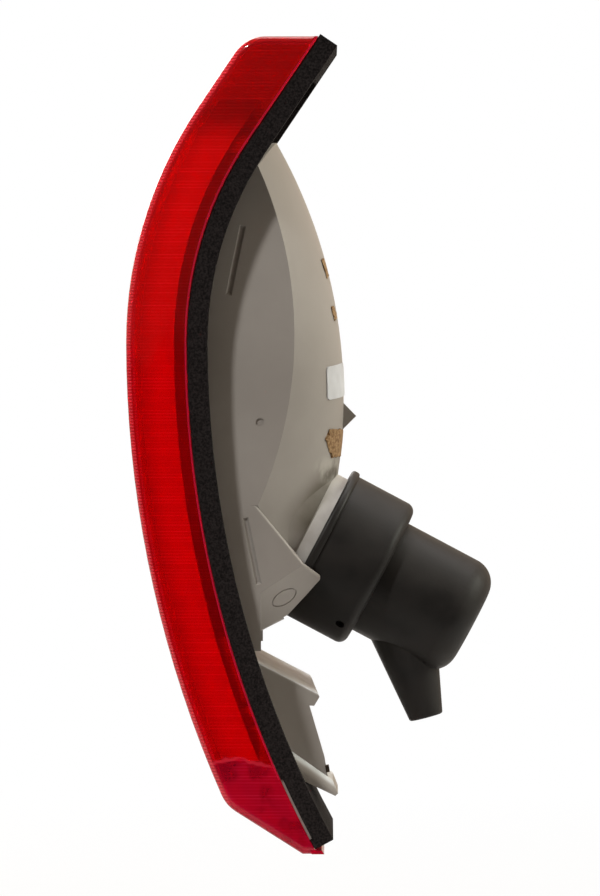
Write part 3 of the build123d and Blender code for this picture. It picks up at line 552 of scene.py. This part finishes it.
# %% Colours of the red acrylic
# Each zone has a valley tint and a brighter crest tint. The crest tint is a painted highlight, and
# the darker top pair is painted shade.
crest_tints = {
    "body": ("#E40816", "#F81A30"), "top": ("#C80616", "#E2182C"), "foot": ("#D20A38", "#F0305A"),
}
cloud_tint = "#A80428"
# The teeth tint is a painted reflection and the lip tint a painted highlight.
zone_tints = {"pale_wavy_line": "#EE4864", "teeth_reflection": "#FA4A5C", "lip": "#D21E44"}


def acrylic_dye_and_painted_light(tree, zone):
    """The dye's red with painted highlights, reflection and shade: each zone is laid over the
    body's red, one on the other.
    """
    tints = {part: add(tree, "MixRGB", None, {
        "Fac": zone["crest"], "Color1": linear(valley), "Color2": linear(crest),
    }) for part, (valley, crest) in crest_tints.items()}
    tints["foot"] = add(tree, "MixRGB", None, {
        "Fac": zone["clouds"], "Color1": tints["foot"], "Color2": linear(cloud_tint),
    })
    for part, tint in zone_tints.items():
        tints[part] = linear(tint)
    dye_with_painted_light = tints.pop("body")
    for part, tint in tints.items():
        dye_with_painted_light = add(tree, "MixRGB", None, {"Fac": zone[part], "Color1": dye_with_painted_light, "Color2": tint})
    return dye_with_painted_light


print("lens tint:", [round(v, 3) for v in linear(crest_tints["body"][0])[:3]])

# %% Red acrylic
haze_size = 9.0
body_clear = 0.86
zone_clear = {"foot": 0.60, "pale_wavy_line": 0.35, "teeth_reflection": 0.45, "lip": 0.20}
light_tint = "#EE0A1C"


def red_clear_acrylic(name, foot_share):
    """Dyed acrylic that lets most light through; foot_share is 1 where all of it is foot."""
    material, tree, place = start_material(name)
    share, z, y = depth_share(tree, place)
    haze = add(tree, "TexNoise", None, {
        "Vector": place, "Scale": per_metre(haze_size), "Detail": 5.0,
    })
    zone = {}
    zone["foot"], zone["pale_wavy_line"] = foot_zone(tree, place, z, haze, foot_share)
    zone["top"], zone["lip"] = edge_zones(tree, share, z, y)
    zone["crest"], zone["teeth_reflection"], zone["clouds"] = rib_lines(tree, place, share, haze)
    clear = body_clear
    for part, part_clear in zone_clear.items():
        clear = add(tree, "MapRange", None, {
            "Value": zone[part], "To Min": clear, "To Max": part_clear,
        })
    dull = add(tree, "MapRange", SMOOTH, {
        "Value": haze, "From Min": NOISE_LOW, "From Max": NOISE_HIGH,
        "To Min": 0.12, "To Max": 0.20,
    })
    body = add(tree, "BsdfPrincipled", None, {
        "Base Color": acrylic_dye_and_painted_light(tree, zone), "Roughness": dull, "IOR": 1.12,
        "Transmission Weight": clear, "Coat Weight": 0.6, "Coat IOR": 1.49, "Coat Roughness": 0.03,
    })
    # Light crosses two faces of each wall, so one face takes the square root of the tint.
    light_through = add(tree, "BsdfTransparent", None, {
        "Color": [v ** 0.5 for v in linear(light_tint)],
    })
    lens_mix = add(tree, "MixShader", None, {
        0: add(tree, "LightPath").outputs["Is Shadow Ray"], 1: body, 2: light_through,
    })
    add(tree, "OutputMaterial", None, {"Surface": lens_mix})
    return material


# Polished acrylic: clear and deep red, with fine bright lines that are painted highlights, and a
# wet gloss.
red_acrylic = red_clear_acrylic("red_acrylic_moulded", 0.0)
# Pressed reflex acrylic: the cloudy pink-red of the foot all over, because its prisms send most
# of the light back.
reflex_acrylic = red_clear_acrylic("red_reflex_acrylic", 1.0)
lens_mesh.materials.append(red_acrylic)
print("acrylics:", red_acrylic.name, reflex_acrylic.name)

# %% [markdown]
# ## A finish with two tones and a grain
# Most other pieces are plastic, rubber, paper or metal with a fine grain. Each could have its own
# node tree. They differ in few numbers, so one function makes them all: a Principled shader whose
# colour and roughness wander in patches, with a grain in its bump.

# %% Grained finish
def grained(name, dark, light, patch, grain, bump, rough, metal=0.0, ior=1.5, spread=0.2):
    """A material of two tones in patches (mm), with a grain (mm) that is bump (mm) deep."""
    material, tree, place = start_material(name)
    patches = add(tree, "TexNoise", None, {
        "Vector": place, "Scale": per_metre(patch), "Detail": 6.0,
    })
    tone = add(tree, "ValToRGB", None, {"Fac": patches})
    tone.color_ramp.elements[0].position = 0.5 - spread
    tone.color_ramp.elements[1].position = 0.5 + spread
    tone.color_ramp.elements[0].color = linear(dark)
    tone.color_ramp.elements[1].color = linear(light)
    dull = add(tree, "MapRange", None, {
        "Value": patches, "From Min": NOISE_LOW, "From Max": NOISE_HIGH,
        "To Min": rough[0], "To Max": rough[1],
    })
    fine = add(tree, "TexNoise", None, {
        "Vector": place, "Scale": per_metre(grain), "Detail": 3.0,
    })
    raise_up = add(tree, "Bump", None, {
        "Height": fine, "Strength": 1.0, "Distance": bump * MM,
    })
    body = add(tree, "BsdfPrincipled", None, {
        "Base Color": tone, "Roughness": dull, "Normal": raise_up, "Metallic": metal, "IOR": ior,
    })
    add(tree, "OutputMaterial", None, {"Surface": body})
    return material


finishes = {}
print("nodes to finish:", len(nodes))

# %% [markdown]
# ## Foam, rubber and glue
# The foam is cut from a sheet, so its open cells show as specks. The boot and the seal are moulded
# rubber and nearly smooth. The lens is bonded with a bead that was squeezed out of a nozzle.

# %% Foam, rubber and glue
finishes.update({
    # Black foam: matt, with specks of lighter cell rims. Its cells are about 0.2 mm wide and are
    # drawn at 0.5 mm, so that they show.
    "gasket": grained(
        "black_foam", "#110F10", "#2D292A", patch=0.6, grain=0.5, bump=0.25,
        rough=(0.9, 1.0), ior=1.2, spread=0.14),
    # Moulded rubber: nearly black with a broad, soft sheen. The mould's texture is finer than
    # 0.1 mm and is drawn at 1 mm.
    "rubber_boot": grained(
        "black_rubber_moulded", "#0F0E0F", "#1E1B1A", patch=12.0, grain=1.0, bump=0.02,
        rough=(0.46, 0.64), ior=1.40),
    # Sealing rubber: flat black and duller than the boot.
    "holder_seal": grained(
        "black_sealing_rubber", "#1A1919", "#262525", patch=6.0, grain=0.5, bump=0.01,
        rough=(0.6, 0.75)),
    # Bonding bead: beige-grey and slightly lumpy, with a satin skin.
    "lens_seal": grained(
        "grey_bonding_bead", "#B9A48E", "#CBB8A2", patch=4.0, grain=0.7, bump=0.05,
        rough=(0.5, 0.7)),
})
print("finishes so far:", list(finishes))

# %% [markdown]
# ## Paper
# The sticker is smooth coated paper. The scraps are what stayed on the dome when an older one was
# torn off: the rough inner layer, brown from old glue.

# %% Paper
finishes.update({
    # Coated paper: cool white, even, with almost no shine. Its fibres are drawn at 0.4 mm, about
    # ten times their width.
    "label": grained(
        "white_paper_sticker", "#C6C8CE", "#D4D7DD", patch=6.0, grain=0.4, bump=0.01,
        rough=(0.6, 0.75)),
    # Torn paper: mottled brown and straw, rough and matt. Its fibres are drawn coarser too.
    "paper_scraps": grained(
        "brown_torn_paper", "#6E4C2C", "#B2946E", patch=1.0, grain=0.4, bump=0.08,
        rough=(0.8, 0.95), ior=1.4, spread=0.16),
})
print("finishes so far:", list(finishes))

# %% [markdown]
# ## Metals
# The clip is spring steel that has browned. Screws and sleeve are plated with zinc, and the bulb's
# cap and the contacts are drawn or stamped from brass sheet. None has a brushed look, so the same
# cloudy finish serves, as a metal. Grains of rolled sheet and plating are finer than 0.1 mm and
# are drawn at 0.2 to 0.5 mm.

# %% Steel and zinc
finishes.update({
    # Browned spring steel: dark brown with a dull metal glint.
    "bracket_clip": grained(
        "browned_spring_steel", "#2C2520", "#4A3D33", patch=1.5, grain=0.4, bump=0.02,
        rough=(0.4, 0.6), metal=0.6),
    # Zinc plating: a pale, slightly yellow metal with a soft gleam.
    "reflector_screws": grained(
        "zinc_plated_steel", "#A9A79E", "#C9C7BE", patch=2.0, grain=0.4, bump=0.01,
        rough=(0.25, 0.4), metal=1.0),
    # Zinc-plated sheet: the same gleam in wider clouds.
    "bulb_sleeve": grained(
        "zinc_plated_sheet", "#A6A49B", "#C6C4BB", patch=3.0, grain=0.5, bump=0.01,
        rough=(0.25, 0.4), metal=1.0),
})
print("finishes so far:", list(finishes))

# %% Brass and bulb metals
finishes.update({
    # Drawn brass: warm yellow, with a soft gleam from the drawing die.
    "bulb_cap": grained(
        "brass_cap_drawn", "#B98F45", "#D2AA5F", patch=4.0, grain=0.5, bump=0.01,
        rough=(0.25, 0.4), metal=1.0),
    # Stamped brass strip: as the cap, in smaller clouds.
    "live_contacts": grained(
        "brass_strip_live", "#B58B42", "#CFA75C", patch=3.0, grain=0.4, bump=0.01,
        rough=(0.25, 0.4), metal=1.0),
    "earth_contact": grained(
        "brass_strip_earth", "#B58B42", "#CFA75C", patch=3.0, grain=0.4, bump=0.01,
        rough=(0.25, 0.4), metal=1.0),
    # Nickel wire: plain grey metal.
    "bulb_wires": grained(
        "nickel_lead_wire", "#8E8E8E", "#A9A9A9", patch=1.0, grain=0.3, bump=0.005,
        rough=(0.3, 0.4), metal=1.0),
    # Tungsten wire: darker and duller than nickel.
    "bulb_filaments": grained(
        "tungsten_wire", "#5A5A5E", "#77777C", patch=0.5, grain=0.2, bump=0.005,
        rough=(0.4, 0.5), metal=1.0),
    # Solder: a dull silver drop with a wrinkled skin.
    "bulb_contacts": grained(
        "lead_free_solder", "#8D9094", "#AEB1B5", patch=1.2, grain=0.4, bump=0.03,
        rough=(0.35, 0.5), metal=1.0),
})
print("finishes so far:", list(finishes))

# %% [markdown]
# ## Black insulators
# The bulb's cap is closed by a black glass insulator, poured while hot. The holder is moulded from
# nylon. Both are black, and differ by their gloss alone.

# %% Black insulators
finishes.update({
    # Poured black glass: blue-black with a sharp gloss.
    "cap_insulator": grained(
        "black_poured_glass", "#16161A", "#26262B", patch=2.0, grain=0.5, bump=0.01,
        rough=(0.15, 0.25)),
    # Moulded nylon: black with a satin face.
    "bulb_holder": grained(
        "black_nylon_moulded", "#1B1B1B", "#292929", patch=8.0, grain=0.6, bump=0.01,
        rough=(0.45, 0.6)),
})
print("finishes so far:", list(finishes))

# %% [markdown]
# ## Reflector
# The reflector is plastic sprayed with silver lacquer. Towards the front edge of the tray and
# towards its upper end it is painted dark, as painted shade where the inside of the lamp gets
# little light. To the eye this gives a bright band in the lens that fades. A mask from the depth
# and the height does it, since a painted map would have to follow the curve.

# %% Reflector lacquer with painted shade towards the front and the top
lacquer_cloud = 12.0
shade_front_share = (0.16, 0.55)
thin_top = (top_level + 14 * MM, top_level - 6 * MM)
front_unshaded, top_cover = 0.55, 0.35

lacquer, tree, place = start_material("silver_lacquered_plastic")
share, z, _ = depth_share(tree, place)
cloud = add(tree, "TexNoise", None, {
    "Vector": place, "Scale": per_metre(lacquer_cloud), "Detail": 6.0,
})
silver = add(tree, "MixRGB", None, {
    "Fac": cloud, "Color1": linear("#D6D6D3"), "Color2": linear("#E8E8E5"),
})
unshaded_by_depth = add(tree, "MapRange", SMOOTH, {
    "Value": share, "From Min": shade_front_share[0], "From Max": shade_front_share[1],
    "To Min": front_unshaded, "To Max": 1.0,
})
unshaded_by_height = add(tree, "MapRange", SMOOTH, {
    "Value": z, "From Min": thin_top[0], "From Max": thin_top[1],
    "To Min": top_cover, "To Max": 1.0,
})
unshaded_share = add(tree, "Math", SMALLER, {0: unshaded_by_depth, 1: unshaded_by_height})
# Where the share is low the silver gives way to #1C1C1C, painted shade.
lacquer_with_painted_shade = add(tree, "MixRGB", None, {
    "Fac": unshaded_share, "Color1": linear("#1C1C1C"), "Color2": silver,
})
lacquer_dull = add(tree, "MapRange", SMOOTH, {
    "Value": cloud, "From Min": NOISE_LOW, "From Max": NOISE_HIGH, "To Min": 0.3, "To Max": 0.45,
})
lacquer_body = add(tree, "BsdfPrincipled", None, {
    "Base Color": lacquer_with_painted_shade, "Roughness": lacquer_dull, "IOR": 1.5,
})
add(tree, "OutputMaterial", None, {"Surface": lacquer_body})
finishes["reflector"] = lacquer
# Above this height the reflector fades to dark, painted shade.
print("reflector lacquer thins out above", round(thin_top[1] / MM), "mm")

# %% [markdown]
# ## Places on the housing
# The housing has been used. Where the boot was pulled on and off, the neck is rubbed pale near it,
# and the flare and the dome around it get painted shade. A smear of old glue lies below the paper,
# and the upward faces of the bracket are painted paler, as painted light. These could be painted by
# hand; here they come from each point's place round and along the axis of the bulb holder.

# %% Round and along the axis of the holder
holder_x, holder_z = 36.85 * MM, -65.9 * MM
holder_slope = radians(28.0)
scuff_size = 8.0

housing_grey, tree, place = start_material("grey_abs_moulded")
split = add(tree, "SeparateXYZ", None, {"Vector": place})
from_x = add(tree, "Math", MINUS, {0: split.outputs["X"], 1: holder_x})
from_z = add(tree, "Math", MINUS, {0: split.outputs["Z"], 1: holder_z})
rise = add(tree, "Math", PLUS, {
    0: add(tree, "Math", TIMES, {0: from_x, 1: sin(holder_slope)}),
    1: add(tree, "Math", TIMES, {0: from_z, 1: cos(holder_slope)}),
})
along = add(tree, "Math", MINUS, {
    0: add(tree, "Math", TIMES, {0: from_x, 1: cos(holder_slope)}),
    1: add(tree, "Math", TIMES, {0: from_z, 1: sin(holder_slope)}),
})
radius_square = add(tree, "Math", PLUS, {
    0: add(tree, "Math", TIMES, {0: rise, 1: rise}),
    1: add(tree, "Math", TIMES, {0: split.outputs["Y"], 1: split.outputs["Y"]}),
})
holder_radius = add(tree, "Math", ROOT, {0: radius_square})
scuff = add(tree, "TexNoise", None, {
    "Vector": place, "Scale": per_metre(scuff_size), "Detail": 8.0,
})
print("axis of the holder through", round(holder_x / MM, 1), round(holder_z / MM, 1), "mm")

# %% Painted shade round the neck
neck_radius = 22.6 * MM
neck_skin = (0.2 * MM, 0.1 * MM)
neck_shade_reach = (10 * MM, 0.5 * MM)
neck_shade_rise = (-4 * MM, 6 * MM)

on_neck = add(tree, "MapRange", SMOOTH, {
    "Value": holder_radius,
    "From Min": neck_radius + neck_skin[0], "From Max": neck_radius + neck_skin[1],
})
near_neck = add(tree, "MapRange", SMOOTH, {
    "Value": holder_radius,
    "From Min": neck_radius + neck_shade_reach[0], "From Max": neck_radius + neck_shade_reach[1],
})
upper_side = add(tree, "MapRange", SMOOTH, {
    "Value": rise, "From Min": neck_shade_rise[0], "From Max": neck_shade_rise[1],
})
neck_shade_cloud = add(tree, "MapRange", SMOOTH, {
    "Value": scuff, "From Min": 0.2, "From Max": 0.7, "To Min": 0.7, "To Max": 0.95,
})
# The dark band round the neck, on its upper side, is painted shade.
neck_painted_shade = add(tree, "Math", MINUS, {0: 1.0, 1: on_neck})
for mask in (near_neck, upper_side, neck_shade_cloud):
    neck_painted_shade = add(tree, "Math", TIMES, {0: neck_painted_shade, 1: mask})
print("grime reaches", round(neck_shade_reach[0] / MM), "mm from the neck")

# %% Rubbed neck
boot_rub = (-13 * MM, -5 * MM)

near_boot = add(tree, "MapRange", SMOOTH, {
    "Value": along, "From Min": boot_rub[0], "From Max": boot_rub[1],
})
rub_cloud = add(tree, "MapRange", SMOOTH, {
    "Value": scuff, "From Min": 0.35, "From Max": 0.65, "To Min": 0.6, "To Max": 0.95,
})
rubbed = add(tree, "Math", TIMES, {0: on_neck, 1: near_boot})
rubbed = add(tree, "Math", TIMES, {0: rubbed, 1: rub_cloud})
print("the neck is rubbed from", round(boot_rub[0] / MM), "to", round(boot_rub[1] / MM), "mm")

# %% Painted light on the bracket's upward faces
bracket_level = -92.0 * MM
top_light_blur = 4 * MM

facing = add(tree, "SeparateXYZ", None, {"Vector": add(tree, "NewGeometry").outputs["Normal"]})
facing_up = add(tree, "MapRange", SMOOTH, {
    "Value": facing.outputs["Z"], "From Min": 0.35, "From Max": 0.75,
})
on_bracket = add(tree, "MapRange", SMOOTH, {
    "Value": split.outputs["Z"], "From Min": bracket_level, "From Max": bracket_level - top_light_blur,
})
top_light_cloud = add(tree, "MapRange", SMOOTH, {
    "Value": scuff, "From Min": NOISE_LOW, "From Max": NOISE_HIGH, "To Min": 0.7, "To Max": 0.95,
})
# The upward faces of the bracket are made paler, as painted light from above.
painted_top_light = add(tree, "Math", TIMES, {0: facing_up, 1: on_bracket})
painted_top_light = add(tree, "Math", TIMES, {0: painted_top_light, 1: top_light_cloud})
print("dust below", round(bracket_level / MM), "mm")

# %% Smear of glue on the dome
smear_centre = (38.5 * MM, 0.0, -41.0 * MM)
smear_radius = (6 * MM, 2 * MM)

smear_place = add(tree, "CombineXYZ", None, {"X": split.outputs["X"], "Z": split.outputs["Z"]})
from_smear = add(tree, "VectorMath", {"operation": "DISTANCE"}, {0: smear_place, 1: smear_centre})
in_smear = add(tree, "MapRange", SMOOTH, {
    "Value": from_smear.outputs["Value"],
    "From Min": smear_radius[0], "From Max": smear_radius[1],
})
smear_cloud = add(tree, "MapRange", SMOOTH, {
    "Value": scuff, "From Min": 0.42, "From Max": 0.56, "To Min": 0.0, "To Max": 0.6,
})
near_side = add(tree, "Math", BELOW, {0: split.outputs["Y"], 1: 0.0})
smear = add(tree, "Math", TIMES, {0: in_smear, 1: smear_cloud})
smear = add(tree, "Math", TIMES, {0: smear, 1: near_side})
print("smear of", round(smear_radius[0] / MM), "mm radius")

# %% [markdown]
# ## Grey housing
# The housing is grey ABS, moulded in one piece. A fine spark-eroded mould gives it a satin face
# with a faint cloudiness, and no two places are quite the same grey. Over this grey the marks from
# above are laid one on the other: the rubbed neck and the glue smear as wear, the dark band round
# the neck as painted shade, and the pale bracket tops as painted light.

# %% Grey moulded plastic
# Moulded ABS: warm grey and satin, so the soft boxes show as broad, dim gleams. The mould's
# texture is about 0.05 mm and is drawn at 0.8 mm.
abs_cloud = 30.0
abs_grain = 0.8
abs_bump = 0.01 * MM

cloud = add(tree, "TexNoise", None, {
    "Vector": place, "Scale": per_metre(abs_cloud), "Detail": 6.0,
})
cloudiness = add(tree, "MapRange", SMOOTH, {
    "Value": cloud, "From Min": NOISE_LOW, "From Max": NOISE_HIGH,
})
grey = add(tree, "MixRGB", None, {
    "Fac": cloudiness, "Color1": linear("#9B9692"), "Color2": linear("#A49F9B"),
})
# Layers over the grey: painted shade round the neck, wear on the rubbed neck, the glue smear, and
# painted light on the bracket tops.
for layer, colour in ((neck_painted_shade, "#5E574B"), (rubbed, "#CFCECC"), (smear, "#C4C2BC"),
                      (painted_top_light, "#E4E8EE")):
    grey = add(tree, "MixRGB", None, {"Fac": layer, "Color1": grey, "Color2": linear(colour)})
satin = add(tree, "MapRange", SMOOTH, {
    "Value": cloud, "From Min": NOISE_LOW, "From Max": NOISE_HIGH, "To Min": 0.40, "To Max": 0.52,
})
fine = add(tree, "TexNoise", None, {
    "Vector": place, "Scale": per_metre(abs_grain), "Detail": 3.0,
})
grain = add(tree, "Bump", None, {"Height": fine, "Strength": 1.0, "Distance": abs_bump})
housing_body = add(tree, "BsdfPrincipled", None, {
    "Base Color": grey, "Roughness": satin, "Normal": grain, "IOR": 1.5,
})
add(tree, "OutputMaterial", None, {"Surface": housing_body})
finishes["housing"] = housing_grey
print("housing nodes:", len(tree.nodes))

# %% [markdown]
# ## Torn paper
# The remains of a paper sticker have ragged edges. Modelling every tear by hand would be slow, so
# a copy of each scrap is cut into small faces and its points are shifted along the dome by a noise.

# %% Ragged paper
tear_size = 2.2 * MM
tear_reach = 0.8 * MM
small_tears, small_share = 3, 0.4
edge_limit = 0.3
paper_crisp_angle = radians(30)
tear_seed = 5
noise.seed_set(tear_seed)  # without a seed the tears would differ from run to run

scraps = bmesh.new()
scraps.from_mesh(nodes["paper_scraps"].data)
bmesh.ops.remove_doubles(scraps, verts=scraps.verts, dist=merge_distance)
bmesh.ops.triangulate(scraps, faces=scraps.faces)
for longest in (4 * MM, 2 * MM, 1 * MM, 0.5 * MM):
    long_edges = [e for e in scraps.edges if e.calc_length() > longest]
    bmesh.ops.subdivide_edges(scraps, edges=long_edges, cuts=1)
    bmesh.ops.triangulate(scraps, faces=scraps.faces)
for vert in scraps.verts:
    spot = vert.co / tear_size
    shift = noise.noise_vector(spot) + noise.noise_vector(spot * small_tears) * small_share
    out = Vector((1.0, 0.0, 0.0)) if abs(vert.normal.x) < edge_limit else vert.normal
    shift -= out * shift.dot(out)
    vert.co += shift * tear_reach
soften(scraps, paper_crisp_angle)
print("ragged points:", len(scraps.verts))

# %% Make the ragged paper a piece
scrap_mesh = bpy.data.meshes.new("ragged_scraps")
scraps.to_mesh(scrap_mesh)
scraps.free()
ragged_scraps = bpy.data.objects.new("ragged_scraps", scrap_mesh)
bpy.context.scene.collection.objects.link(ragged_scraps)
scrap_mesh.materials.append(finishes.pop("paper_scraps"))
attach(ragged_scraps, "root")
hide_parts("paper_scraps")
print("ragged scraps:", len(scrap_mesh.polygons), "faces")

# %% [markdown]
# ## Bulb glass
# The bulb is thin clear glass. It sits behind the red lens and is hardly seen, so it is a plain
# clear Principled glass with a faint film, and shadow rays pass it as they pass the lens.

# %% Clear bulb glass
# Blown soda glass: colourless, with sharp gleams that a faint film softens in places.
film_size = 5.0
film_roughness = 0.06
glass_tint = linear("#FAFDFC")

bulb_glass, tree, place = start_material("clear_soda_glass")
film = add(tree, "TexNoise", None, {
    "Vector": place, "Scale": per_metre(film_size), "Detail": 4.0,
})
film_dull = add(tree, "MapRange", None, {"Value": film, "To Min": 0.0, "To Max": film_roughness})
glass_body = add(tree, "BsdfPrincipled", None, {
    "Base Color": glass_tint, "Roughness": film_dull, "IOR": 1.52, "Transmission Weight": 1.0,
})
glass_light = add(tree, "BsdfTransparent", None, {"Color": glass_tint})
glass_mix = add(tree, "MixShader", None, {
    0: add(tree, "LightPath").outputs["Is Shadow Ray"], 1: glass_body, 2: glass_light,
})
add(tree, "OutputMaterial", None, {"Surface": glass_mix})
print("clear glass with a film of", film_size, "mm clouds")

# %% [markdown]
# ## Each finish on its node
# A CAD node already has a material slot for each of its record's finishes. The node itself is
# never changed: its slots just get the finish made above.

# %% Put each finish on its node
finishes["bulb_glass"] = bulb_glass
finishes["bulb_stem"] = bulb_glass
finishes["reflex_reflector"] = reflex_acrylic
for node, finish in finishes.items():
    for slot in nodes[node].material_slots:
        slot.material = finish
print("finished nodes:", len(finishes))
